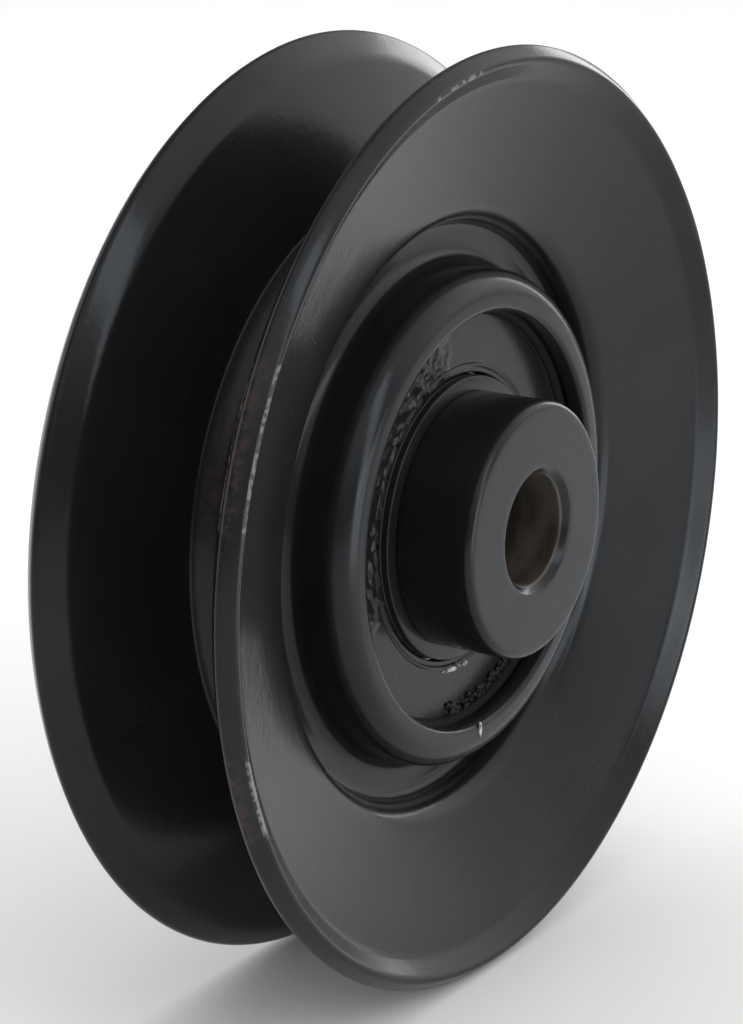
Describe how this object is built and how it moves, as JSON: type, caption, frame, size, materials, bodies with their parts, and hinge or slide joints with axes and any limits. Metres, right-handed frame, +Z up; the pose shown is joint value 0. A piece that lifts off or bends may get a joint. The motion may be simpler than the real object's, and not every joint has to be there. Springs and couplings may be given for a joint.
{
  "type": "v-belt idler pulley",
  "caption": "Black painted V-belt idler pulley of pressed steel halves around a sealed ball bearing, with a long bushing on one side.",
  "frame": {"origin": "on the wheel's axis, in the mid-plane of the belt groove", "axes": "-Y along the wheel's axis out of the long bushing, +Z up, +X to the right seen from the long bushing's side"},
  "size_m": [0.0826, 0.0236, 0.0826],
  "materials": {
    "black_paint": "semi-gloss black paint over pressed steel, chipped at the rim",
    "painted_bushing": "semi-gloss black paint over turned steel, bare in the bore",
    "painted_seal": "rubber seal face oversprayed with lumpy black paint",
    "seal_steel": "plain pressed steel",
    "bearing_steel": "ground bearing steel",
    "cage_steel": "pressed steel strip",
    "rivet_steel": "headed wire",
    "ball_steel": "polished bearing balls"
  },
  "bodies": {
    "hub": {"front_bushing": "painted_bushing", "rear_bushing": "painted_bushing", "inner_ring": "bearing_steel"},
    "pulley": {"front_half": "black_paint", "rear_half": "black_paint", "outer_ring": "bearing_steel", "front_seal": "painted_seal", "rear_seal": "painted_seal", "front_seal_insert": "seal_steel", "rear_seal_insert": "seal_steel"},
    "cage": {"cage_front": "cage_steel", "cage_rear": "cage_steel", "cage_rivets": "rivet_steel"},
    "ball_1": {"ball_1": "ball_steel"},
    "ball_2": {"ball_2": "ball_steel"},
    "ball_3": {"ball_3": "ball_steel"},
    "ball_4": {"ball_4": "ball_steel"},
    "ball_5": {"ball_5": "ball_steel"},
    "ball_6": {"ball_6": "ball_steel"},
    "ball_7": {"ball_7": "ball_steel"},
    "ball_8": {"ball_8": "ball_steel"}
  },
  "joints": [
    {"name": "pulley_spin", "type": "hinge", "parent": "hub", "child": "pulley", "pos_m": [0, 0, 0], "axis": [0, -1, 0], "continuous": true},
    {"name": "cage_spin", "type": "hinge", "parent": "hub", "child": "cage", "pos_m": [0, 0, 0], "axis": [0, -1, 0], "continuous": true},
    {"name": "ball_1_spin", "type": "hinge", "parent": "cage", "child": "ball_1", "pos_m": [0.0145, 0, 0], "axis": [0, -1, 0], "continuous": true},
    {"name": "ball_2_spin", "type": "hinge", "parent": "cage", "child": "ball_2", "pos_m": [0.01025, 0, 0.01025], "axis": [0, -1, 0], "continuous": true},
    {"name": "ball_3_spin", "type": "hinge", "parent": "cage", "child": "ball_3", "pos_m": [0, 0, 0.0145], "axis": [0, -1, 0], "continuous": true},
    {"name": "ball_4_spin", "type": "hinge", "parent": "cage", "child": "ball_4", "pos_m": [-0.01025, 0, 0.01025], "axis": [0, -1, 0], "continuous": true},
    {"name": "ball_5_spin", "type": "hinge", "parent": "cage", "child": "ball_5", "pos_m": [-0.0145, 0, 0], "axis": [0, -1, 0], "continuous": true},
    {"name": "ball_6_spin", "type": "hinge", "parent": "cage", "child": "ball_6", "pos_m": [-0.01025, 0, -0.01025], "axis": [0, -1, 0], "continuous": true},
    {"name": "ball_7_spin", "type": "hinge", "parent": "cage", "child": "ball_7", "pos_m": [0, 0, -0.0145], "axis": [0, -1, 0], "continuous": true},
    {"name": "ball_8_spin", "type": "hinge", "parent": "cage", "child": "ball_8", "pos_m": [0.01025, 0, -0.01025], "axis": [0, -1, 0], "continuous": true}
  ],
  "couplings": [
    {"joint": "cage_spin", "follows": "pulley_spin", "ratio": 0.61633},
    {"joint": "ball_1_spin", "follows": "pulley_spin", "ratio": 2.0328},
    {"joint": "ball_2_spin", "follows": "pulley_spin", "ratio": 2.0328},
    {"joint": "ball_3_spin", "follows": "pulley_spin", "ratio": 2.0328},
    {"joint": "ball_4_spin", "follows": "pulley_spin", "ratio": 2.0328},
    {"joint": "ball_5_spin", "follows": "pulley_spin", "ratio": 2.0328},
    {"joint": "ball_6_spin", "follows": "pulley_spin", "ratio": 2.0328},
    {"joint": "ball_7_spin", "follows": "pulley_spin", "ratio": 2.0328},
    {"joint": "ball_8_spin", "follows": "pulley_spin", "ratio": 2.0328}
  ]
}
